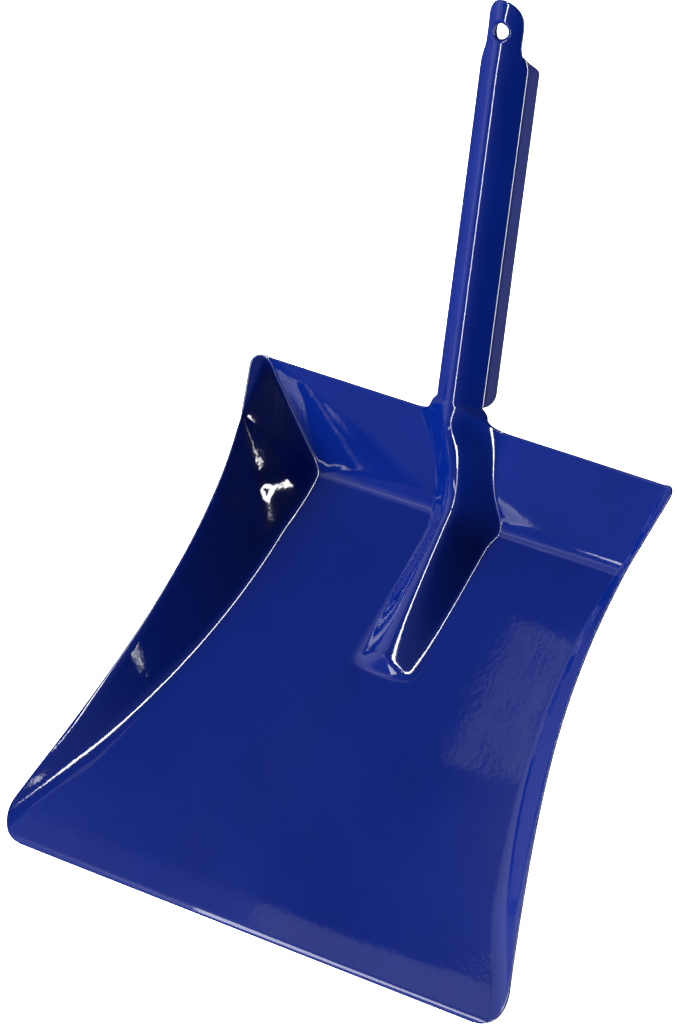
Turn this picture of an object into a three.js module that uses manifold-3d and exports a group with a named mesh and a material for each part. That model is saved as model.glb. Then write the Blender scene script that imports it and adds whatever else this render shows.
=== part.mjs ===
// Pressed-steel dustpan: pan, stiffening ridge and handle are one sheet, so the object is one solid.
// Millimetres, +Z up. X runs across the pan, Y from the mouth towards the handle.
// The sheet's middle surface is written as formulas, meshed in three patches (pan, handle roof,
// handle flanges), thickened, and pierced for the hanging hole.

import * as THREE from 'three';
import { mergeVertices } from 'three/addons/utils/BufferGeometryUtils.js';
import Module from 'manifold-3d';

// ---- Driving dimensions -------------------------------------------------------------------

const SHEET = 0.8; // sheet thickness, paint included

const PAN = {
  creaseY: 167.5, // where floor and back wall would meet without their bend
  backSlope: 1.33, // rise over run of the back wall, 53 degrees
  backHeight: 31, // top edge of the back wall above the floor
  creaseBlend: 4.6, // size of the rounded bend between floor and back wall
  lipLength: 11, // front strip that dips to meet the ground
  lipDrop: 0.6,
  lipBlend: 0.15,
  frontRoll: 0.45, // the front edge itself is rolled down by this much
  frontRollLength: 2.2,
  dish: 1.4, // the floor rises this much towards the side walls
  dishStart: -30, // the rise grows between these two, and fades before the crease
  dishFull: 70,
  dishFade: 30, // distances in front of the crease
  dishEnd: 4,
  mouthCorner: 14, // corner radii of the outline, seen from above
  earCorner: 5,
  kinkY: 168.5, // where the side rim turns outwards and up into the back corner
  earFlare: 0.24, // rim's outward and upward run behind the kink, per mm of Y
  earRise: 0.27,
  earSteepening: 0.0067, // behind the kink the wall steepens by this much per mm of Y
  earSlope: 0.55, // and above it the ear folds out, rise over run
  earBlend: 1.6,
  wallBlend: 2.4, // size of the bend at the foot of the side walls
  cornerBlend: 2.6, // and of the fold between side and back wall, at the top edge
};

// Curves from the back (s = 0) to the mouth (s = 1), each as four Bezier control values.
const RIM_HALF_WIDTH = [89.6, 78.8, 98.8, 117];
const RIM_HEIGHT = [28, 18.8, 11.6, 0.2]; // above the floor, all but gone at the mouth
const BEND_HALF_WIDTH = [68.5, 62.3, 79.6, 110.7];

const RIDGE = {
  tipY: 109.5, // centre of the blunt front end
  tipHeight: 4.4,
  noseSteepness: 2, // how much shorter the front end is than half the ridge's width
  noseBluntness: 3, // exponent of its outline: 2 would be an ellipse
  floorRise: 0.15, // climb of the crest along the floor, per mm of Y
  wallRise: 1.98, // climb of the crest over the back wall
  wallStart: 165.2, // where that climb would reach the level of the floor
  crestBlend: 20,
  kneeBlend: 3,
  halfWidth: 12.7,
  creaseSwell: 2.2, // the ridge is wider by this much where it crosses the crease
  swellLength: 9,
  topFlare: 4.5, // and by this much at the top edge of the back wall
  topFlareLength: 12.8,
  crestRound: 3.5, // rounding of the crest
  footBlend: 1.2, // bend at the foot of the ridge on the floor
  topFootBlend: 3, // the same at the top edge of the back wall
};

const HANDLE = {
  elevation: THREE.MathUtils.degToRad(36.8),
  crestY: 183, // a point on the line of the crest
  crestZ: 36.3,
  halfWidth: 9.5, // from the centre to the start of the flange bend
  roofSlope: 0.73,
  crestRound: 2.5,
  flangeStart: 11, // stations along the crest, measured from crestY, crestZ
  flangeFull: 15,
  flangeFade: 129,
  flangeEnd: 134.5,
  flangeBend: 1.8, // inner radius of the flange bend
  flangeTilt: THREE.MathUtils.degToRad(88), // flange's final direction below the horizontal
  flangeWidth: 6.6, // measured around the bend
  flangeStub: 0.6, // shortest flange, at both of its ends
  tabHalfWidth: 7.3,
  tabStart: 138.5,
  tabCentre: 145.9, // centre of the tab's round end
  tabDrop: 0.3, // the roof flattens into the tab a little below the crest
  tabSlope: 0.16,
  flattenStart: 127,
  holeStation: 142.6,
  holeRadius: 3.1,
  holeLip: 1, // the hole's rim is rolled down by this much, and as wide
};

const NOTCH = {
  radius: 3, // relief between the back wall and the flange
  halfWidth: 12.3, // of the neck, at the relief
  narrowFrom: 0.3, // share of the neck's length after which it narrows to the handle
};

// Spacing of the mesh's rows and columns.
const MESH = {
  foldClearance: 3, // the fold's columns keep this far inside the rim
  foldShare: 0.6, // and reach over at most this share of the strip between fold and rim
  footMargin: 0.4, // the ridge's foot gets this much more than its bend on either side
  tipMargin: 1.5, // close rows start this far in front of the ridge's tip
  neckRun: 10, // below the top edge, columns run together with the neck's over this height
  neckColumns: 8, // columns from the centre to the relief
  holeSegments: 20,
};

const PAINT = { color: 0x14227e, roughness: 0.22, metalness: 0.1 };

// ---- Small helpers --------------------------------------------------------------------------

const { clamp, lerp, smoothstep } = THREE.MathUtils;
const { sin, cos, tan, sqrt, hypot, PI } = Math;

// Larger of two heights, with a rounded change-over while they differ by less than blend.
function blendMax(a, b, blend) {
  const overlap = Math.max(blend - Math.abs(a - b), 0) / blend;
  return Math.max(a, b) + (overlap * overlap * blend) / 4;
}

const blendMin = (a, b, blend) => -blendMax(-a, -b, blend);

function bezier([a, b, c, d], s) {
  const r = 1 - s;
  return a * r ** 3 + 3 * b * r * r * s + 3 * c * r * s * s + d * s ** 3;
}

// Evenly spaced values from a to b, without a itself.
function steps(a, b, count) {
  return Array.from({ length: count }, (_, i) => lerp(a, b, (i + 1) / count));
}

// Height lost to a crown rounded by radius round: straight at the sides, flat on the crest.
const crownFall = (x, round) => hypot(x, round) - round;

// Like a distance from the origin, but with contours blunter than circles.
const bluntDistance = (x, y, power) => (Math.abs(x) ** power + Math.abs(y) ** power) ** (1 / power);

// ---- Pan: middle surface as a height over X and Y ---------------------------------------------

const topY = PAN.creaseY + PAN.backHeight / PAN.backSlope;

function baseHeight(y) {
  const wall = blendMax(0, (y - PAN.creaseY) * PAN.backSlope, PAN.creaseBlend);
  const lip = blendMax(0, (PAN.lipLength - y) * (PAN.lipDrop / PAN.lipLength), PAN.lipBlend);
  const roll = PAN.frontRoll * clamp(1 - y / PAN.frontRollLength, 0, 1) ** 2;
  return wall - lip - roll;
}

function rimHalfWidth(y) {
  const s = clamp(1 - y / PAN.kinkY, 0, 1);
  return bezier(RIM_HALF_WIDTH, s) + Math.max(y - PAN.kinkY, 0) * PAN.earFlare;
}

function rimHeight(y) {
  const s = clamp(1 - y / PAN.kinkY, 0, 1);
  return bezier(RIM_HEIGHT, s) + Math.max(y - PAN.kinkY, 0) * PAN.earRise;
}

function bendHalfWidth(y) {
  return bezier(BEND_HALF_WIDTH, clamp(1 - y / PAN.creaseY, 0, 1));
}

function wallSlope(y) {
  const at = Math.min(y, PAN.kinkY);
  const slope = rimHeight(at) / (rimHalfWidth(at) - bendHalfWidth(at));
  return slope + Math.max(y - PAN.kinkY, 0) * PAN.earSteepening;
}

// Side wall, and above it the ear that folds outwards at the back corner.
function sideHeight(x, y) {
  const wall = (Math.abs(x) - bendHalfWidth(y)) * wallSlope(y);
  const ear = rimHeight(y) + (Math.abs(x) - rimHalfWidth(y)) * PAN.earSlope;
  const share = clamp((y - PAN.kinkY) / (topY - PAN.kinkY), 0, 1);
  return share > 0 ? blendMin(wall, ear, PAN.earBlend * share) : wall;
}

// The floor is very slightly dished: it rises towards the side walls.
function dishHeight(x, y) {
  const across = PAN.dish * Math.min(Math.abs(x) / bendHalfWidth(y), 1) ** 4;
  const fade = smoothstep(y, PAN.creaseY - PAN.dishFade, PAN.creaseY - PAN.dishEnd);
  return across * smoothstep(y, PAN.dishStart, PAN.dishFull) * (1 - fade);
}

// Quarter-circle corner: how far the outline stands in at a distance from the end of the sheet.
function cornerInset(distance, radius) {
  const left = clamp(radius - distance, 0, radius);
  return radius - sqrt(radius * radius - left * left);
}

function outlineHalfWidth(y) {
  const inset = cornerInset(y, PAN.mouthCorner) + cornerInset(topY - y, PAN.earCorner);
  return rimHalfWidth(y) - inset;
}

function sideBlend(y) {
  return lerp(PAN.wallBlend, PAN.cornerBlend, clamp((y - PAN.creaseY) / (topY - PAN.creaseY), 0, 1));
}

// Half-width of the line where the side wall leaves the floor or the back wall.
function foldHalfWidth(y) {
  const climb = Math.max(y - PAN.creaseY, 0) * PAN.backSlope;
  return bendHalfWidth(y) + climb / wallSlope(y);
}

// ---- Ridge: a rounded roof over the floor and the back wall ----------------------------------

const handleLine = (y) => HANDLE.crestZ + (y - HANDLE.crestY) * tan(HANDLE.elevation);

function crestHeight(y) {
  const floorLine = RIDGE.tipHeight + (y - RIDGE.tipY) * RIDGE.floorRise;
  const wallLine = (y - RIDGE.wallStart) * RIDGE.wallRise;
  return blendMax(floorLine, blendMin(wallLine, handleLine(y), RIDGE.kneeBlend), RIDGE.crestBlend);
}

function ridgeHalfWidth(y) {
  const toCrease = Math.abs(y - PAN.creaseY);
  const swell = RIDGE.creaseSwell * (1 - smoothstep(toCrease, 0, RIDGE.swellLength));
  const flare = RIDGE.topFlare * clamp(1 - (topY - y) / RIDGE.topFlareLength, 0, 1) ** 2;
  return RIDGE.halfWidth + swell + flare;
}

// The ridge's own height, continued round its blunt front end.
function ridgeHeight(x, y) {
  const along = Math.max(y, RIDGE.tipY);
  const width = ridgeHalfWidth(along);
  const crest = crestHeight(along);
  const slope = (crest - baseHeight(along)) / crownFall(width, RIDGE.crestRound);
  const nose = (along - y) * RIDGE.noseSteepness;
  return crest - slope * crownFall(bluntDistance(x, nose, RIDGE.noseBluntness), RIDGE.crestRound);
}

// Where the ridge's foot lies on a row, for placing the columns of the mesh.
function ridgeFoot(y) {
  const power = RIDGE.noseBluntness;
  const past = Math.max(RIDGE.tipY - y, 0) * RIDGE.noseSteepness;
  return Math.max(ridgeHalfWidth(y) ** power - past ** power, (RIDGE.halfWidth / 2) ** power) ** (1 / power);
}

const footBlend = (y) => lerp(RIDGE.footBlend, RIDGE.topFootBlend, smoothstep(y, PAN.creaseY, topY));

function panHeight(x, y) {
  const tray = blendMax(baseHeight(y) + dishHeight(x, y), sideHeight(x, y), sideBlend(y));
  return blendMax(tray, ridgeHeight(x, y), footBlend(y));
}

// ---- Handle: middle surface over X and the station along the crest ---------------------------

const along = new THREE.Vector3(0, cos(HANDLE.elevation), sin(HANDLE.elevation));
const outward = new THREE.Vector3(0, -sin(HANDLE.elevation), cos(HANDLE.elevation));
const crestStart = new THREE.Vector3(0, HANDLE.crestY, HANDLE.crestZ);

function handlePoint(x, station, level) {
  const point = crestStart.clone().addScaledVector(along, station).addScaledVector(outward, level);
  return point.setX(x);
}

function roofLevel(x, station) {
  const flat = smoothstep(station, HANDLE.flattenStart, HANDLE.tabStart);
  const slope = lerp(HANDLE.roofSlope, HANDLE.tabSlope, flat);
  return -HANDLE.tabDrop * flat - slope * crownFall(x, HANDLE.crestRound);
}

// Half-width of the roof: parallel sides, a step in to the tab, and the tab's round end.
function roofHalfWidth(station) {
  const step = smoothstep(station, HANDLE.flangeFade, HANDLE.tabStart);
  const straight = lerp(HANDLE.halfWidth, HANDLE.tabHalfWidth, step);
  return straight - cornerInset(HANDLE.tabCentre + HANDLE.tabHalfWidth - station, HANDLE.tabHalfWidth);
}

// Width of flange at a station: full in the middle, a rounded corner below, a slanting end above.
function flangeWidth(station) {
  const left = clamp((HANDLE.flangeFull - station) / (HANDLE.flangeFull - HANDLE.flangeStart), 0, 1);
  const rise = sqrt(1 - left * left);
  const fade = 1 - smoothstep(station, HANDLE.flangeFade, HANDLE.flangeEnd);
  return lerp(HANDLE.flangeStub, HANDLE.flangeWidth, Math.min(rise, fade));
}

// A point of the flange, at a distance around the bend from the edge of the roof.
function flangePoint(side, station, distance) {
  const edge = roofHalfWidth(station);
  const start = Math.atan(HANDLE.roofSlope);
  const turn = Math.min(distance / HANDLE.flangeBend, HANDLE.flangeTilt - start);
  const rest = distance - turn * HANDLE.flangeBend;
  const reach = HANDLE.flangeBend * (sin(start + turn) - sin(start)) + rest * cos(start + turn);
  const fall = HANDLE.flangeBend * (cos(start) - cos(start + turn)) + rest * sin(start + turn);
  return handlePoint(side * (edge + reach), station, roofLevel(edge, station) - fall);
}

// Neck: each strip of constant X runs as a Hermite curve from the pan's top edge to the handle.
function neckPoint(x, t) {
  const probe = 0.5;
  const start = new THREE.Vector3(x, topY, panHeight(x, topY));
  const slope = (start.z - panHeight(x, topY - probe)) / probe;
  const end = handlePoint(x, HANDLE.flangeStart, roofLevel(x, HANDLE.flangeStart));
  const length = start.distanceTo(end);
  const startPull = new THREE.Vector3(0, 1, slope).setLength(length);
  const endPull = along.clone().multiplyScalar(length);
  return start.multiplyScalar(1 + t * t * (2 * t - 3))
    .addScaledVector(end, t * t * (3 - 2 * t))
    .addScaledVector(startPull, t * (1 - t) ** 2)
    .addScaledVector(endPull, t * t * (t - 1));
}

// Half-width of the neck: the relief's quarter circle, then an easy run in to the handle.
function neckHalfWidth(t) {
  const distance = t * hypot(topY - HANDLE.crestY, NOTCH.radius);
  const shoulder = cornerInset(distance, NOTCH.radius);
  return lerp(NOTCH.halfWidth, HANDLE.halfWidth, smoothstep(t, NOTCH.narrowFrom, 1)) + shoulder;
}

// ---- Mesh rows and columns ---------------------------------------------------------------------

// Y stations of the pan's rows, closer together where the section changes fast.
function panRows() {
  const ear = [0.75, 0.5, 0.25, 0].map((f) => topY - PAN.earCorner * (1 - cos((f * PI) / 2)));
  const tipFront = RIDGE.tipY - RIDGE.halfWidth / RIDGE.noseSteepness - MESH.tipMargin;
  const creaseReach = PAN.creaseBlend / PAN.backSlope;
  return [
    0,
    ...steps(0, PAN.frontRollLength, 2),
    ...steps(PAN.frontRollLength, PAN.mouthCorner, 4),
    ...steps(PAN.mouthCorner, tipFront, 5),
    ...steps(tipFront, RIDGE.tipY, 5),
    ...steps(RIDGE.tipY, PAN.creaseY - creaseReach, 6),
    ...steps(PAN.creaseY - creaseReach, PAN.creaseY + creaseReach, 4),
    ...steps(PAN.creaseY + creaseReach, topY - PAN.earCorner, 4),
    ...ear,
  ];
}

// X stations of one row, from the centre to the rim.
function panColumns(y) {
  const rim = outlineHalfWidth(y);
  const fold = Math.min(foldHalfWidth(y), rim - MESH.foldClearance);
  const reach = Math.min(sideBlend(y) / wallSlope(y), (rim - fold) * MESH.foldShare);
  const foot = ridgeFoot(y);
  const footReach = footBlend(y) + MESH.footMargin;
  const neck = NOTCH.halfWidth + NOTCH.radius;
  const footOuter = lerp(foot + footReach, neck, smoothstep(y, topY - MESH.neckRun, topY));
  const footInner = Math.min(foot - footReach, footOuter - 2 * footReach);
  return [
    0,
    ...steps(0, RIDGE.crestRound, 2),
    ...steps(RIDGE.crestRound, footInner, 2),
    ...steps(footInner, footOuter, 3),
    ...steps(footOuter, fold - reach, 3),
    ...steps(fold - reach, fold + reach, 3),
    ...steps(fold + reach, rim, 2),
  ];
}

const mirrored = (half) => [...half.slice(1).reverse().map((x) => -x), ...half];

// Triangles between consecutive rows of equal length; wound to face up.
function gridTriangles(rows) {
  const points = [];
  for (let i = 1; i < rows.length; i++) {
    for (let j = 1; j < rows[i].length; j++) {
      const [a, b] = [rows[i - 1][j - 1], rows[i - 1][j]];
      const [c, d] = [rows[i][j - 1], rows[i][j]];
      const flip = j <= rows[i].length / 2;
      points.push(...(flip ? [a, b, d, a, d, c] : [a, b, c, b, d, c]));
    }
  }
  return points;
}

function panPatch() {
  const rows = panRows().map((y) =>
    mirrored(panColumns(y)).map((x) => new THREE.Vector3(x, y, panHeight(x, y))));
  return gridTriangles(rows);
}

// Stations of the handle's rows above the neck.
function handleStations() {
  const round = [0.2, 0.4, 0.6, 0.8, 0.93].map((f) =>
    HANDLE.tabCentre + HANDLE.tabHalfWidth * sin((f * PI) / 2));
  return [
    HANDLE.flangeStart,
    ...steps(HANDLE.flangeStart, HANDLE.flangeFull, 4),
    ...steps(HANDLE.flangeFull, HANDLE.flangeFade, 4),
    ...steps(HANDLE.flangeFade, HANDLE.flangeEnd, 4),
    ...steps(HANDLE.flangeEnd, HANDLE.tabStart, 3),
    ...steps(HANDLE.tabStart, HANDLE.tabCentre, 2),
    ...round,
  ];
}

function roofPatch() {
  const outer = panColumns(topY).slice(0, MESH.neckColumns);
  const fractions = mirrored(outer.map((x) => x / outer.at(-1)));
  const neckSteps = [0, 0.1, 0.22, 0.4, 0.6, 0.8];
  const neck = neckSteps.map((t) => fractions.map((f) => neckPoint(f * neckHalfWidth(t), t)));
  const roof = handleStations().map((station) =>
    fractions.map((f) => {
      const x = f * roofHalfWidth(station);
      return handlePoint(x, station, roofLevel(x, station));
    }));
  return gridTriangles([...neck, ...roof]);
}

function flangePatch(side) {
  const stations = handleStations().filter((station) => station <= HANDLE.flangeEnd);
  const aroundBend = [0, 0.07, 0.14, 0.21, 0.6, 1];
  const rows = stations.map((station) =>
    aroundBend.map((f) => flangePoint(side, station, f * flangeWidth(station))));
  return gridTriangles(side > 0 ? rows : rows.map((row) => row.reverse()));
}

// ---- From middle surface to solid --------------------------------------------------------------

function middleSurface() {
  const points = [...panPatch(), ...roofPatch(), ...flangePatch(1), ...flangePatch(-1)];
  const surface = mergeVertices(new THREE.BufferGeometry().setFromPoints(points), 1e-3);
  surface.computeVertexNormals();
  return surface;
}

// Two copies of the surface, half a thickness either side, closed along every free edge.
function thicken(surface, thickness) {
  const position = surface.getAttribute('position');
  const normal = surface.getAttribute('normal');
  const index = Array.from(surface.index.array);
  const count = position.count;
  const offset = (sign) => Array.from({ length: count * 3 }, (_, i) =>
    position.array[i] + (sign * normal.array[i] * thickness) / 2);
  const triangles = [...index];
  const directed = new Set();
  for (let i = 0; i < index.length; i += 3) {
    const [a, b, c] = index.slice(i, i + 3);
    triangles.push(a + count, c + count, b + count);
    [[a, b], [b, c], [c, a]].forEach(([p, q]) => directed.add(`${p},${q}`));
  }
  for (const edge of directed) {
    const [p, q] = edge.split(',').map(Number);
    if (!directed.has(`${q},${p}`)) {
      triangles.push(q, p, p + count, q, p + count, q + count);
    }
  }
  return { vertProperties: [...offset(1), ...offset(-1)], triVerts: triangles };
}

const wasm = await Module();
wasm.setup();

function toManifold({ vertProperties, triVerts }) {
  return new wasm.Manifold(new wasm.Mesh({
    numProp: 3,
    vertProperties: new Float32Array(vertProperties),
    triVerts: new Uint32Array(triVerts),
  }));
}

// A lathe profile of (radius, level) pairs, stood on the tab at the hanging hole.
function turnedAtHole(profile) {
  const outline = profile.map(([r, z]) => new THREE.Vector2(r, z));
  const lathe = new THREE.LatheGeometry(outline, MESH.holeSegments);
  lathe.deleteAttribute('normal');
  lathe.deleteAttribute('uv');
  const basis = new THREE.Matrix4().makeBasis(new THREE.Vector3(1, 0, 0), outward, along.clone().negate());
  lathe.applyMatrix4(basis.setPosition(handlePoint(0, HANDLE.holeStation, -HANDLE.tabDrop)));
  const merged = mergeVertices(lathe, 1e-4);
  return toManifold({ vertProperties: merged.getAttribute('position').array, triVerts: merged.index.array });
}

function hangingHole(solid) {
  const { holeRadius: bore, holeLip: lip } = HANDLE;
  const half = SHEET / 2;
  const collar = turnedAtHole([
    [bore - half, -lip - SHEET],
    [bore + half, -lip - SHEET],
    [bore + lip + half, -half],
    [bore + lip, 0],
    [bore - half, 0],
    [bore - half, -lip - SHEET],
  ]);
  const drill = turnedAtHole([
    [0, -lip * 4],
    [bore - half / 2, -lip * 4],
    [bore - half / 2, -lip],
    [bore + half / 2, half / 2],
    [bore + half / 2, lip * 4],
    [0, lip * 4],
  ]);
  return solid.add(collar).subtract(drill);
}

function pressing() {
  const solid = hangingHole(toManifold(thicken(middleSurface(), SHEET)));
  const { vertProperties, triVerts } = solid.getMesh();
  const geometry = new THREE.BufferGeometry();
  geometry.setAttribute('position', new THREE.BufferAttribute(vertProperties, 3));
  geometry.setIndex(new THREE.BufferAttribute(triVerts, 1));
  geometry.computeVertexNormals();
  return geometry;
}

const dustpan = new THREE.Mesh(pressing(), new THREE.MeshStandardMaterial(PAINT));
dustpan.name = 'dustpan_pressing';

// The origin lies under the middle of the whole part, on the surface it stands on.
dustpan.geometry.computeBoundingBox();
const extent = dustpan.geometry.boundingBox;
dustpan.position.set(0, -(extent.min.y + extent.max.y) / 2, -extent.min.z);

const group = new THREE.Group();
group.add(dustpan);

export default group;
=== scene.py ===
"""Pressed-steel dustpan: the visible model, its paint, a plain floor, soft light and the camera."""

import math

import bpy
import numpy as np
from mathutils import Matrix, Vector


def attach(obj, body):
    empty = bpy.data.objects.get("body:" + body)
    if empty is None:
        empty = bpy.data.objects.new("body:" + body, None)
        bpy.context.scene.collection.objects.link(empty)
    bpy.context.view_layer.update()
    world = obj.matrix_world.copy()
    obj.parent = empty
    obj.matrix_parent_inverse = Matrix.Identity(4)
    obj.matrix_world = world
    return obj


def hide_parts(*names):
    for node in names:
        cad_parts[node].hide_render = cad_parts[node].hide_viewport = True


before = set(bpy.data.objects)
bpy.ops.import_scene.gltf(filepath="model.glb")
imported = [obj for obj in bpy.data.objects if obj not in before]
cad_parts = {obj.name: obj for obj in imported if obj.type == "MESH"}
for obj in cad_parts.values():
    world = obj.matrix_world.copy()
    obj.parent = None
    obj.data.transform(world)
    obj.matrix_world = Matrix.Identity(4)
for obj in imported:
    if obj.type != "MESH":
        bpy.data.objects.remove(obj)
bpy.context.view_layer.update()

MM = 0.001  # the formulas below are in millimetres, the scene in metres
SHEET = 0.8
SHIFT = np.array([0.0, -152.99, 1.43])  # from the pan's own axes (Y from the mouth) to the shared frame

# ---- Dimensions, millimetres ---------------------------------------------------------------------

CREASE_Y = 167.5
BACK_SLOPE = 1.33
BACK_HEIGHT = 31.0
CREASE_BLEND = 4.6
LIP_LENGTH, LIP_DROP, LIP_BLEND = 11.0, 0.6, 0.15
MOUTH_CORNER, EAR_CORNER = 14.0, 5.0
KINK_Y, EAR_FLARE, EAR_RISE = 168.5, 0.24, 0.27
EAR_STEEPENING, EAR_SLOPE, EAR_BLEND = 0.0067, 0.55, 1.6  # the ear folds out above a steeper wall
FLOOR_DISH = 1.4  # the floor rises this much towards the side walls
DISH_START, DISH_FULL, DISH_FADE, DISH_END = -30.0, 70.0, 30.0, 4.0  # the last two before the crease
FRONT_ROLL, FRONT_ROLL_LENGTH = 0.45, 2.2  # the front edge is rolled down
WALL_BLEND, CORNER_BLEND = 2.4, 2.6
RIM_HALF_WIDTH = (89.6, 78.8, 98.8, 117.0)  # Bezier control values, from the back to the mouth
RIM_HEIGHT = (28.0, 18.8, 11.6, 0.2)
BEND_HALF_WIDTH = (68.5, 62.3, 79.6, 110.7)
TOP_Y = CREASE_Y + BACK_HEIGHT / BACK_SLOPE
RIM_ROLL, RIM_ROLL_WIDTH = 0.4, 2.2  # the outermost strip of the rim is rolled down
ROLL_START, ROLL_FULL, ROLL_FADE, ROLL_END = 20.0, 50.0, 20.0, 4.0  # the last two before the kink

RIDGE_TIP_Y, RIDGE_TIP_HEIGHT, NOSE_STEEPNESS = 109.5, 4.4, 2.0
FLOOR_RISE, WALL_RISE, WALL_START = 0.15, 1.98, 165.2
CREST_BLEND, KNEE_BLEND, CREST_ROUND = 20.0, 3.0, 3.5
RIDGE_HALF_WIDTH, CREASE_SWELL, SWELL_LENGTH = 12.7, 2.2, 9.0
TOP_FLARE, TOP_FLARE_LENGTH = 4.5, 12.8
FOOT_BLEND, TOP_FOOT_BLEND = 1.2, 3.0

PHI = math.radians(36.8)  # climb of the handle
CREST_Y, CREST_Z = 183.0, 36.3
HANDLE_HALF_WIDTH, ROOF_SLOPE, ROOF_ROUND = 9.5, 0.73, 2.5
FLANGE_START, FLANGE_FULL, FLANGE_FADE, FLANGE_END = 11.0, 15.0, 129.0, 134.5
FLANGE_BEND, FLANGE_TILT, FLANGE_WIDTH, FLANGE_STUB = 1.8, math.radians(88), 6.6, 0.6
TAB_HALF_WIDTH, TAB_START, TAB_CENTRE, TAB_DROP = 7.3, 138.5, 145.9, 0.3
TAB_SLOPE, FLATTEN_START = 0.7, 127.0
TIP_SLOPE, TIP_ROUND = 0.7, 4.0  # the roof's crest softens between the hole and the tip
HOLE_STATION, HOLE_RADIUS, HOLE_LIP = 142.6, 3.1, 1.0
NOTCH_RADIUS, NECK_HALF_WIDTH, NARROW_FROM = 3.0, 12.3, 0.3
DENT_DEPTH, DENT_WIDTH = 0.38, 2.8


# ---- Helpers ---------------------------------------------------------------------------------------


def blend_max(a, b, blend):
    overlap = np.maximum(blend - np.abs(a - b), 0) / blend
    return np.maximum(a, b) + overlap**2 * blend / 4


def blend_min(a, b, blend):
    return -blend_max(-a, -b, blend)


def bezier(values, s):
    a, b, c, d = values
    r = 1 - s
    return a * r**3 + 3 * b * r * r * s + 3 * c * r * s * s + d * s**3


def smoothstep(x, low, high):
    t = np.clip((x - low) / (high - low), 0, 1)
    return t * t * (3 - 2 * t)


def lerp(a, b, t):
    return a + (b - a) * t


def crown_fall(x, rounding):
    return np.hypot(x, rounding) - rounding


def blunt_distance(x, y):
    """Like a distance from the origin, but its contours are blunter than circles."""
    return (np.abs(x) ** 3 + np.abs(y) ** 3) ** (1 / 3)


def corner_inset(distance, radius):
    left = np.clip(radius - distance, 0, radius)
    return radius - np.sqrt(radius * radius - left * left)


def stations(stops):
    """Values from (start, (end, count), (end, count), ...), evenly spaced within each stretch."""
    values = [np.atleast_1d(np.asarray(stops[0], float))]
    for end, count in stops[1:]:
        start = values[-1][-1]
        values.append(start + (end - start) * np.arange(1, count + 1) / count)
    return np.concatenate(values)


# ---- Pan -------------------------------------------------------------------------------------------


def base_height(y):
    wall = blend_max(0, (y - CREASE_Y) * BACK_SLOPE, CREASE_BLEND)
    lip = blend_max(0, (LIP_LENGTH - y) * (LIP_DROP / LIP_LENGTH), LIP_BLEND)
    roll = FRONT_ROLL * np.clip(1 - y / FRONT_ROLL_LENGTH, 0, 1) ** 2
    return wall - lip - roll


def rim_half_width(y):
    return bezier(RIM_HALF_WIDTH, np.clip(1 - y / KINK_Y, 0, 1)) + np.maximum(y - KINK_Y, 0) * EAR_FLARE


def rim_height(y):
    return bezier(RIM_HEIGHT, np.clip(1 - y / KINK_Y, 0, 1)) + np.maximum(y - KINK_Y, 0) * EAR_RISE


def bend_half_width(y):
    return bezier(BEND_HALF_WIDTH, np.clip(1 - y / CREASE_Y, 0, 1))


def wall_slope(y):
    at = np.minimum(y, KINK_Y)
    slope = rim_height(at) / (rim_half_width(at) - bend_half_width(at))
    return slope + np.maximum(y - KINK_Y, 0) * EAR_STEEPENING


def side_height(x, y):
    wall = (np.abs(x) - bend_half_width(y)) * wall_slope(y)
    ear = rim_height(y) + (np.abs(x) - rim_half_width(y)) * EAR_SLOPE
    blend = 0.05 + EAR_BLEND * np.clip((y - KINK_Y) / (TOP_Y - KINK_Y), 0, 1)
    return blend_min(wall, ear, blend)


def outline_half_width(y):
    return rim_half_width(y) - corner_inset(y, MOUTH_CORNER) - corner_inset(TOP_Y - y, EAR_CORNER)


def side_blend(y):
    return lerp(WALL_BLEND, CORNER_BLEND, np.clip((y - CREASE_Y) / (TOP_Y - CREASE_Y), 0, 1))


def fold_half_width(y):
    return bend_half_width(y) + np.maximum(y - CREASE_Y, 0) * BACK_SLOPE / wall_slope(y)


def handle_line(y):
    return CREST_Z + (y - CREST_Y) * math.tan(PHI)


def crest_height(y):
    floor_line = RIDGE_TIP_HEIGHT + (y - RIDGE_TIP_Y) * FLOOR_RISE
    wall_line = (y - WALL_START) * WALL_RISE
    return blend_max(floor_line, blend_min(wall_line, handle_line(y), KNEE_BLEND), CREST_BLEND)


def ridge_half_width(y):
    swell = CREASE_SWELL * (1 - smoothstep(np.abs(y - CREASE_Y), 0, SWELL_LENGTH))
    flare = np.clip(1 - (TOP_Y - y) / TOP_FLARE_LENGTH, 0, 1) ** 2
    return RIDGE_HALF_WIDTH + swell + TOP_FLARE * flare


def ridge_height(x, y):
    line = np.maximum(y, RIDGE_TIP_Y)
    crest = crest_height(line)
    slope = (crest - base_height(line)) / crown_fall(ridge_half_width(line), CREST_ROUND)
    return crest - slope * crown_fall(blunt_distance(x, (line - y) * NOSE_STEEPNESS), CREST_ROUND)


def foot_blend(y):
    return lerp(FOOT_BLEND, TOP_FOOT_BLEND, smoothstep(y, CREASE_Y, TOP_Y))


def pan_height(x, y):
    across = FLOOR_DISH * np.minimum(np.abs(x) / bend_half_width(y), 1) ** 4
    fade = 1 - smoothstep(y, CREASE_Y - DISH_FADE, CREASE_Y - DISH_END)
    dish = across * smoothstep(y, DISH_START, DISH_FULL) * fade
    tray = blend_max(base_height(y) + dish, side_height(x, y), side_blend(y))
    return blend_max(tray, ridge_height(x, y), foot_blend(y))


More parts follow.
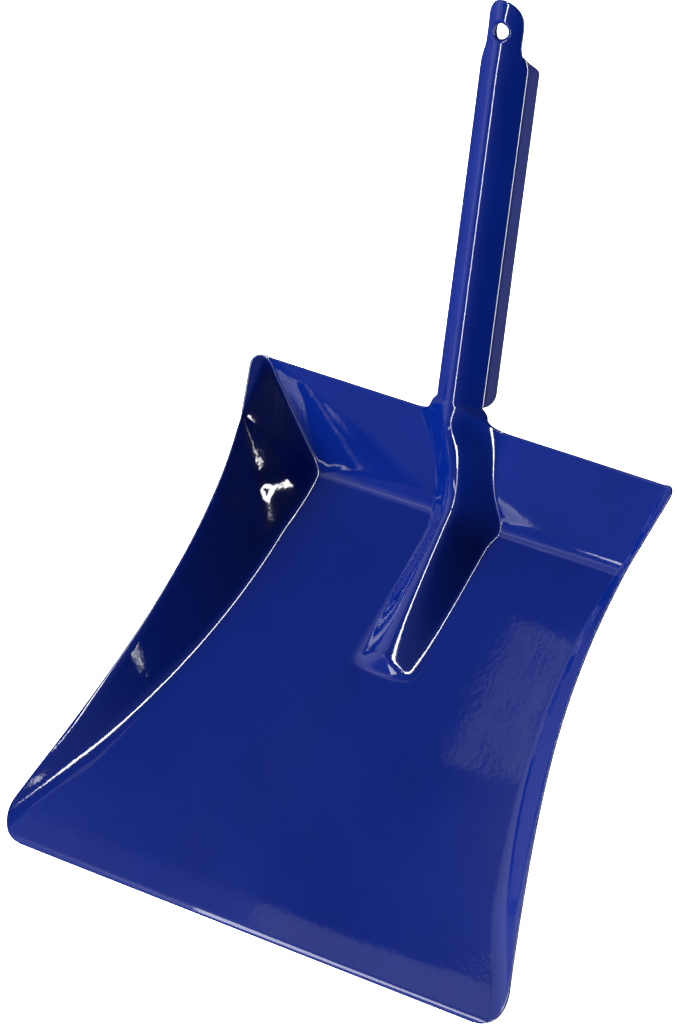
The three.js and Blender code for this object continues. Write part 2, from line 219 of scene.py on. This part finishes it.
def rim_drop(x, y):
    """How far the rolled rim lies under the plain wall."""
    inside = np.clip(RIM_ROLL_WIDTH - (outline_half_width(y) - np.abs(x)), 0, RIM_ROLL_WIDTH)
    fade = 1 - smoothstep(y, KINK_Y - ROLL_FADE, KINK_Y - ROLL_END)
    strength = smoothstep(y, ROLL_START, ROLL_FULL) * fade
    return RIM_ROLL * strength * (inside / RIM_ROLL_WIDTH) ** 2


def pan_columns(y):
    rim = outline_half_width(y)
    fold = min(fold_half_width(y), rim - 3.5)
    reach = min(side_blend(y) / wall_slope(y), (rim - fold) * 0.6)
    past = max(RIDGE_TIP_Y - y, 0) * NOSE_STEEPNESS
    foot = np.cbrt(max(ridge_half_width(y) ** 3 - past**3, (RIDGE_HALF_WIDTH / 2) ** 3))
    foot_reach = foot_blend(y) + 0.4
    neck = NECK_HALF_WIDTH + NOTCH_RADIUS
    foot_outer = lerp(foot + foot_reach, neck, smoothstep(y, TOP_Y - 10, TOP_Y))
    foot_inner = min(foot - foot_reach, foot_outer - 2 * foot_reach)
    return stations([
        0,
        (CREST_ROUND, 8),
        (foot_inner, 10),
        (foot_outer, 18),
        (fold - reach, 30),
        (fold + reach, 22),
        (max(rim - RIM_ROLL_WIDTH, fold + reach + 0.3), 12),
        (rim, 8),
    ])


NECK_COLUMNS = 37  # columns from the centre to the relief: 1 + 8 + 10 + 18


def mirrored(half):
    return np.concatenate([-half[:0:-1], half])


def pan_grid():
    ear = TOP_Y - EAR_CORNER * (1 - np.cos(np.linspace(1, 0, 13)[1:] * math.pi / 2))
    tip_front = RIDGE_TIP_Y - RIDGE_HALF_WIDTH / NOSE_STEEPNESS - 1.5
    reach = CREASE_BLEND / BACK_SLOPE
    rows = stations([
        0,
        (FRONT_ROLL_LENGTH, 6),
        (MOUTH_CORNER, 16),
        (tip_front, 46),
        (RIDGE_TIP_Y, 30),
        (CREASE_Y - reach, 34),
        (CREASE_Y + reach, 30),
        (TOP_Y - EAR_CORNER, 18),
    ])
    grid = []
    for y in np.concatenate([rows, ear]):
        x = mirrored(pan_columns(y))
        z = pan_height(x, y) - rim_drop(x, y)
        grid.append(np.stack([x, np.full_like(x, y), z], axis=1))
    return np.array(grid)


# ---- Handle ----------------------------------------------------------------------------------------

ALONG = np.array([0.0, math.cos(PHI), math.sin(PHI)])
OUTWARD = np.array([0.0, -math.sin(PHI), math.cos(PHI)])


def handle_point(x, station, level):
    x, station, level = np.broadcast_arrays(np.asarray(x, float), station, level)
    crest = np.array([0.0, CREST_Y, CREST_Z])
    point = crest + station[..., None] * ALONG + level[..., None] * OUTWARD
    point[..., 0] = x
    return point


def roof_level(x, station):
    flat = smoothstep(station, FLATTEN_START, TAB_START)
    tip = smoothstep(station, HOLE_STATION, TAB_CENTRE + TAB_HALF_WIDTH)
    slope = lerp(lerp(ROOF_SLOPE, TAB_SLOPE, flat), TIP_SLOPE, tip)
    return -TAB_DROP * flat - slope * crown_fall(x, lerp(ROOF_ROUND, TIP_ROUND, tip))


def roof_half_width(station):
    step = smoothstep(station, FLANGE_FADE, TAB_START)
    straight = lerp(HANDLE_HALF_WIDTH, TAB_HALF_WIDTH, step)
    return straight - corner_inset(TAB_CENTRE + TAB_HALF_WIDTH - station, TAB_HALF_WIDTH)


def flange_width(station):
    rise = np.sqrt(1 - np.clip((FLANGE_FULL - station) / (FLANGE_FULL - FLANGE_START), 0, 1) ** 2)
    fade = 1 - smoothstep(station, FLANGE_FADE, FLANGE_END)
    return lerp(FLANGE_STUB, FLANGE_WIDTH, np.minimum(rise, fade))


def flange_row(side, station, share):
    distance = share * flange_width(station)
    edge = roof_half_width(station)
    start = math.atan(ROOF_SLOPE)
    turn = np.minimum(distance / FLANGE_BEND, FLANGE_TILT - start)
    rest = distance - turn * FLANGE_BEND
    reach = FLANGE_BEND * (np.sin(start + turn) - math.sin(start)) + rest * np.cos(start + turn)
    fall = FLANGE_BEND * (math.cos(start) - np.cos(start + turn)) + rest * np.sin(start + turn)
    return handle_point(side * (edge + reach), station, roof_level(edge, station) - fall)


def neck_row(x, t):
    """Each strip of constant X is a Hermite curve from the pan's top edge to the handle."""
    probe = 0.5
    foot = pan_height(x, TOP_Y)
    start = np.stack([x, np.full_like(x, TOP_Y), foot], axis=1)
    rise = (foot - pan_height(x, TOP_Y - probe)) / probe
    end = handle_point(x, FLANGE_START, roof_level(x, FLANGE_START))
    length = np.linalg.norm(end - start, axis=1)[:, None]
    pull = np.stack([np.zeros_like(x), np.ones_like(x), rise], axis=1)
    pull *= length / np.linalg.norm(pull, axis=1)[:, None]
    return (
        start * (1 + t * t * (2 * t - 3))
        + end * (t * t * (3 - 2 * t))
        + pull * (t * (1 - t) ** 2)
        + ALONG * length * (t * t * (t - 1))
    )


def neck_half_width(t):
    shoulder = corner_inset(t * math.hypot(TOP_Y - CREST_Y, NOTCH_RADIUS), NOTCH_RADIUS)
    return lerp(NECK_HALF_WIDTH, HANDLE_HALF_WIDTH, smoothstep(t, NARROW_FROM, 1)) + shoulder


FLANGE_STATIONS = stations([FLANGE_START, (FLANGE_FULL, 22), (FLANGE_FADE, 60), (FLANGE_END, 22)])


def roof_grid():
    outer = pan_columns(TOP_Y)[:NECK_COLUMNS]
    shares = mirrored(outer / outer[-1])
    rows = []
    for t in stations([0, (0.1, 6), (0.4, 10), (1.0, 14)])[:-1]:
        rows.append(neck_row(shares * neck_half_width(t), t))
    for station in np.concatenate([FLANGE_STATIONS, stations([FLANGE_END, (TAB_START, 14)])[1:]]):
        x = shares * roof_half_width(station)
        rows.append(handle_point(x, station, roof_level(x, station)))
    return np.array(rows), shares * TAB_HALF_WIDTH


def flange_grid(side):
    shares = stations([0, (0.2, 12), (1.0, 9)])
    rows = np.array([flange_row(side, station, shares) for station in FLANGE_STATIONS])
    return rows if side > 0 else rows[:, ::-1]


def tab_grid(base_x):
    """Rings of points from the tab's outline in to the rolled rim of the hanging hole."""
    up = stations([TAB_START, (TAB_CENTRE, 14)])[1:]
    turn = np.linspace(0, math.pi, 61)[1:-1]
    right = [(TAB_HALF_WIDTH, s) for s in up]
    arc = [(TAB_HALF_WIDTH * math.cos(a), TAB_CENTRE + TAB_HALF_WIDTH * math.sin(a)) for a in turn]
    left = [(-x, s) for x, s in reversed(right)]
    base = [(x, TAB_START) for x in base_x]
    outline = np.array(base + right + arc + left)
    offset = outline - [0, HOLE_STATION]
    angle = np.arctan2(offset[:, 1], offset[:, 0])
    spoke = np.stack([np.cos(angle), np.sin(angle)], axis=1)
    rings = []
    for share in np.linspace(0, 1, 12)[:-1]:
        flat = lerp(outline, [0, HOLE_STATION] + spoke * (HOLE_RADIUS + HOLE_LIP), share)
        rings.append(handle_point(flat[:, 0], flat[:, 1], roof_level(flat[:, 0], flat[:, 1])))
    for turned in np.linspace(0, math.pi / 2, 9):
        radius = HOLE_RADIUS + HOLE_LIP * (1 - math.sin(turned))
        flat = [0, HOLE_STATION] + spoke * radius
        fall = HOLE_LIP * (1 - math.cos(turned))
        rings.append(handle_point(flat[:, 0], flat[:, 1], roof_level(flat[:, 0], flat[:, 1]) - fall))
    return np.array(rings)


# ---- From grids to one sheet with thickness ----------------------------------------------------------


def grid_quads(grid, first, closed=False):
    """Quads of a grid of points, wound to face up; closed joins each row's end to its start."""
    rows, columns = grid.shape[:2]
    index = first + np.arange(rows * columns).reshape(rows, columns)
    if closed:
        index = np.concatenate([index, index[:, :1]], axis=1)
    a, b = index[:-1, :-1], index[:-1, 1:]
    c, d = index[1:, :-1], index[1:, 1:]
    return np.stack([a, b, d, c], axis=-1).reshape(-1, 4)


def welded(points, quads):
    """The same surface with coinciding points joined."""
    keys = np.round(points / 2e-3).astype(np.int64)
    _, first, same = np.unique(keys, axis=0, return_index=True, return_inverse=True)
    return points[first], same.ravel()[quads]


def vertex_normals(points, quads):
    cross = np.cross(points[quads[:, 2]] - points[quads[:, 0]], points[quads[:, 3]] - points[quads[:, 1]])
    normals = np.zeros_like(points)
    for corner in range(4):
        np.add.at(normals, quads[:, corner], cross)
    return normals / np.maximum(np.linalg.norm(normals, axis=1), 1e-12)[:, None]


def unevenness(points):
    """Slow waves of a few hundredths of a millimetre, as pressed sheet has."""
    x, y, z = points.T
    wave = 0.05 * np.sin(x / 13.0 + 1.7 * np.sin(y / 31.0) + z / 17.0)
    wave += 0.04 * np.sin(y / 11.0 + 1.3 * np.sin(x / 23.0 + 0.6))
    wave += 0.012 * np.sin(x / 4.1 + 2.0 * np.sin(y / 7.3)) * np.sin(y / 5.3)
    return wave


def dent(points, start, end):
    """A slight fold in the sheet along a straight line from start to end."""
    start, line = np.array(start), np.subtract(end, start)
    share = np.clip((points - start) @ line / (line @ line), 0, 1)
    away = np.linalg.norm(points - start - share[:, None] * line, axis=1)
    return DENT_DEPTH * np.exp(-((away / DENT_WIDTH) ** 2))


def dents(points):
    """Two slight folds that cross high on the left wall, near the back corner."""
    from_kink = dent(points, (-89.0, 167.0, 27.0), (-73.5, 141.0, 8.0))
    across = dent(points, (-85.0, 138.0, 20.5), (-74.0, 158.0, 8.0))
    return from_kink + across


def border(quads):
    """Directed edges that only one quad has, as an array of (from, to)."""
    edges = np.concatenate([quads[:, [k, (k + 1) % 4]] for k in range(4)])
    count = edges.max() + 1
    code = edges[:, 0] * count + edges[:, 1]
    back = edges[:, 1] * count + edges[:, 0]
    return edges[~np.isin(back, code)]


def thickened(points, quads):
    """Both faces of the sheet and the rounded edge that joins them."""
    normals = vertex_normals(points, quads)
    half = SHEET / 2
    count = len(points)
    edges = border(quads)
    following = dict(edges.tolist())
    leading = {b: a for a, b in following.items()}
    rim = np.array(sorted(following))
    tangent = points[[following[v] for v in rim]] - points[[leading[v] for v in rim]]
    side = np.cross(tangent, normals[rim])
    side /= np.linalg.norm(side, axis=1)[:, None]
    levels = [points + normals * half, points - normals * half]
    angles = np.linspace(0, math.pi, 7)[1:-1]
    for angle in angles:
        levels.append(points[rim] + half * (normals[rim] * math.cos(angle) + side * math.sin(angle)))
    slot = {v: i for i, v in enumerate(rim)}
    faces = [quads, quads[:, ::-1] + count]

    def at(vertices, level):
        if level == 0:
            return vertices
        if level == len(angles) + 1:
            return vertices + count
        return np.array([slot[v] for v in vertices]) + 2 * count + (level - 1) * len(rim)

    start, end = edges.T
    for level in range(len(angles) + 1):
        strip = [at(end, level), at(start, level), at(start, level + 1), at(end, level + 1)]
        faces.append(np.stack(strip, axis=1))
    return np.concatenate(levels), np.concatenate(faces)


def mesh_object(name, points, faces):
    mesh = bpy.data.meshes.new(name)
    corners = [list(dict.fromkeys(face)) for face in faces.tolist()]
    mesh.from_pydata(((points + SHIFT) * MM).tolist(), [], [face for face in corners if len(face) > 2])
    mesh.validate()
    mesh.shade_smooth()
    piece = bpy.data.objects.new(name, mesh)
    bpy.context.collection.objects.link(piece)
    return piece


def pressing():
    roof, tab_base = roof_grid()
    grids = [(pan_grid(), False), (roof, False), (flange_grid(1), False), (flange_grid(-1), False)]
    grids.append((tab_grid(tab_base), True))
    points, quads, first = [], [], 0
    for grid, closed in grids:
        points.append(grid.reshape(-1, 3))
        quads.append(grid_quads(grid, first, closed))
        first += grid.shape[0] * grid.shape[1]
    points, quads = welded(np.concatenate(points), np.concatenate(quads))
    offset = unevenness(points) + dents(points)
    points = points + vertex_normals(points, quads) * offset[:, None]
    return mesh_object("dustpan", *thickened(points, quads))


# ---- Materials ---------------------------------------------------------------------------------------


def material(name):
    made = bpy.data.materials.new(name)
    made.use_nodes = True
    tree = made.node_tree
    return made, tree, tree.nodes["Principled BSDF"]


def noise(tree, scale, detail, roughness=0.5):
    coordinates = tree.nodes.new("ShaderNodeTexCoord")
    node = tree.nodes.new("ShaderNodeTexNoise")
    node.inputs["Scale"].default_value = scale
    node.inputs["Detail"].default_value = detail
    node.inputs["Roughness"].default_value = roughness
    tree.links.new(coordinates.outputs["Object"], node.inputs["Vector"])
    return node.outputs["Fac"]


def ramp(tree, value, stops):
    node = tree.nodes.new("ShaderNodeValToRGB")
    elements = node.color_ramp.elements
    while len(elements) < len(stops):
        elements.new(0.5)
    for element, (position, colour) in zip(elements, stops):
        element.position = position
        element.color = (*colour, 1)
    tree.links.new(value, node.inputs["Fac"])
    return node.outputs["Color"]


def grey(level):
    return (level, level, level)


def paint():
    """Glossy deep-blue stove enamel: fine orange peel, and slightly uneven depth of colour."""
    made, tree, shader = material("blue_paint")
    cloud = noise(tree, 22, 3)
    colour = ramp(tree, cloud, [(0.3, (0.0004, 0.0068, 0.096)), (0.7, (0.0007, 0.0086, 0.113))])
    tree.links.new(colour, shader.inputs["Base Color"])
    gloss = ramp(tree, noise(tree, 60, 4, 0.6), [(0.3, grey(0.05)), (0.75, grey(0.09))])
    tree.links.new(gloss, shader.inputs["Roughness"])
    peel = tree.nodes.new("ShaderNodeBump")
    peel.inputs["Strength"].default_value = 0.12
    peel.inputs["Distance"].default_value = 0.0002
    tree.links.new(noise(tree, 420, 2), peel.inputs["Height"])
    tree.links.new(peel.outputs["Normal"], shader.inputs["Normal"])
    return made


def floor_material():
    made, tree, shader = material("pale_floor")
    colour = ramp(tree, noise(tree, 3, 2), [(0.3, grey(0.79)), (0.7, grey(0.81))])
    tree.links.new(colour, shader.inputs["Base Color"])
    shader.inputs["Roughness"].default_value = 0.9
    tree.links.new(colour, shader.inputs["Emission Color"])
    shader.inputs["Emission Strength"].default_value = 2.5
    return made


# ---- The dustpan ---------------------------------------------------------------------------------------

dustpan = pressing()
dustpan.data.materials.append(paint())
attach(dustpan, "root")
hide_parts("dustpan_pressing")

# ---- Floor, light and camera -----------------------------------------------------------------------------

bpy.ops.mesh.primitive_plane_add(size=12, location=(0, 0, 0))
floor = bpy.context.object
floor.name = "floor"
floor.data.materials.append(floor_material())
floor.visible_glossy = False


def area_light(name, place, facing, long_side, size, radiance, only_reflected=True):
    """A flat lamp: facing is where it shines, long_side the direction of size's second value.

    Every lamp but the key is seen only in reflections.
    """
    light = bpy.data.lights.new(name, "AREA")
    light.shape = "RECTANGLE"
    light.size, light.size_y = size
    light.energy = radiance * math.pi * size[0] * size[1]
    lamp = bpy.data.objects.new(name, light)
    back = -Vector(facing).normalized()
    side = Vector(long_side).cross(back).normalized()
    turn = Matrix((side, back.cross(side), back)).transposed().to_4x4()
    lamp.matrix_world = Matrix.Translation(place) @ turn
    lamp.visible_camera = False
    lamp.visible_glossy = only_reflected
    lamp.visible_diffuse = not only_reflected
    bpy.context.collection.objects.link(lamp)


X_AXIS, Y_AXIS, Z_AXIS, DOWN = (1, 0, 0), (0, 1, 0), (0, 0, 1), (0, 0, -1)
STRIP_WIDTH, STRIP_RADIANCE = 0.1, 34
OVERHEAD, FRONT, CARD_HEIGHT = 1.1, -1.45, 0.77  # where the strips and the cards hang

# The soft lamp that lights the paint's own colour.
area_light("key", (-1.5, -1.35, 1.7), (1.5, 1.35, -1.7), Z_AXIS, (1.8, 1.8), 20, only_reflected=False)

# Strips overhead and in front: they draw the white lines along the ridge, the handle and the folds.
area_light("strip_above", (0.0, 0.0, OVERHEAD), DOWN, Y_AXIS, (STRIP_WIDTH, 0.9), STRIP_RADIANCE)
area_light("strip_forward", (0.0, -1.035, OVERHEAD), DOWN, Y_AXIS, (STRIP_WIDTH, 0.83), STRIP_RADIANCE)
area_light("strip_front", (0.0, FRONT, -0.15), Y_AXIS, Z_AXIS, (STRIP_WIDTH, 0.7), STRIP_RADIANCE)
area_light("strip_corner", (0.0, FRONT, 0.65), Y_AXIS, Z_AXIS, (STRIP_WIDTH, 0.9), 12)

# Cards for the softer highlights: the crease, the floor, the front lip and the line along its edge.
area_light("card_crease", (-0.63, -0.6, CARD_HEIGHT), (0.7, 0.4, -0.77), Y_AXIS, (0.06, 0.7), 0.9)
for width in (0.001, 0.003, 0.005):  # stacked, so that the patch in the floor has softer edges
    size = (width, 0.05 + 2 * width)
    area_light("card_floor", (-0.065, 0.0, 0.147), (0.66, -0.2, -0.72), (0.1, -1, 0), size, 0.6)
area_light("card_lip", (-0.46, -0.06, CARD_HEIGHT), (0.5, -0.05, -0.77), Y_AXIS, (0.16, 0.12), 0.5)
area_light("card_edge", (-0.035, -0.191, 0.115), (0.59, 0.25, -0.77), X_AXIS, (0.03, 0.12), 9)

# Lamps on the right, for the glints on the left wall and the sheen of edges that face right.
area_light("glint", (1.306, 0.423, 0.4), (-0.92, -0.28, -0.26), Y_AXIS, (0.12, 0.36), 26)
area_light("sparkle", (0.8515, -0.493, 1.104), (-0.63, 0.28, -0.73), Y_AXIS, (0.008, 0.008), 150)
area_light("strip_right", (1.6, -0.3, 0.22), (-1, 0, 0), Y_AXIS, (0.2, 2.2), 30)

world = bpy.data.worlds.new("studio")
bpy.context.scene.world = world
world.use_nodes = True
sky = world.node_tree
background = sky.nodes["Background"]
background.inputs["Strength"].default_value = 2.0


def sky_shade(direction, stops):
    """Grey levels by the cosine of the angle from a direction, -1 to 1."""
    coordinates = sky.nodes.new("ShaderNodeTexCoord")
    toward = sky.nodes.new("ShaderNodeVectorMath")
    toward.operation = "DOT_PRODUCT"
    toward.inputs[1].default_value = Vector(direction).normalized()
    sky.links.new(coordinates.outputs["Generated"], toward.inputs[0])
    share = sky.nodes.new("ShaderNodeMapRange")
    share.inputs["From Min"].default_value = -1.0
    sky.links.new(toward.outputs["Value"], share.inputs["Value"])
    return ramp(sky, share.outputs["Result"], [((cosine + 1) / 2, grey(level)) for cosine, level in stops])


# Brightest low on the right, where the white floor would be; dim high on the left; dark between.
surround = sky_shade(
    (0.62, 0.2, -0.76),
    [(-1.0, 0.06), (-0.54, 0.1), (-0.24, 0.015), (0.2, 0.015), (0.6, 0.06), (1.0, 0.24)],
)
soft_light = sky_shade((-0.845, -0.2, 0.497), [(0.835, 0.0), (0.88, 0.12), (0.94, 0.36)])
total = sky.nodes.new("ShaderNodeVectorMath")
total.operation = "ADD"
sky.links.new(surround, total.inputs[0])
sky.links.new(soft_light, total.inputs[1])
sky.links.new(total.outputs["Vector"], background.inputs["Color"])

EYE = Vector((1.3028, -0.5651, 1.7659))
AIM = Vector((-0.0143, -0.0142, 0.0502))
ROLL = math.radians(42.7)
FOCAL_LENGTH = 227.0

view = (AIM - EYE).normalized()
right = view.cross(Vector((0, 0, 1))).normalized()
up = right.cross(view)
rolled_up = up * math.cos(ROLL) + right * math.sin(ROLL)
rolled_right = right * math.cos(ROLL) - up * math.sin(ROLL)
camera = bpy.data.objects.new("camera", bpy.data.cameras.new("camera"))
camera.data.lens = FOCAL_LENGTH
camera.data.sensor_width = 36
camera.data.sensor_fit = "AUTO"
camera.data.clip_end = 50
axes = Matrix((rolled_right, rolled_up, -view)).transposed().to_4x4()
camera.matrix_world = Matrix.Translation(EYE) @ axes
bpy.context.collection.objects.link(camera)
bpy.context.scene.camera = camera
bpy.context.scene.view_settings.view_transform = "Standard"
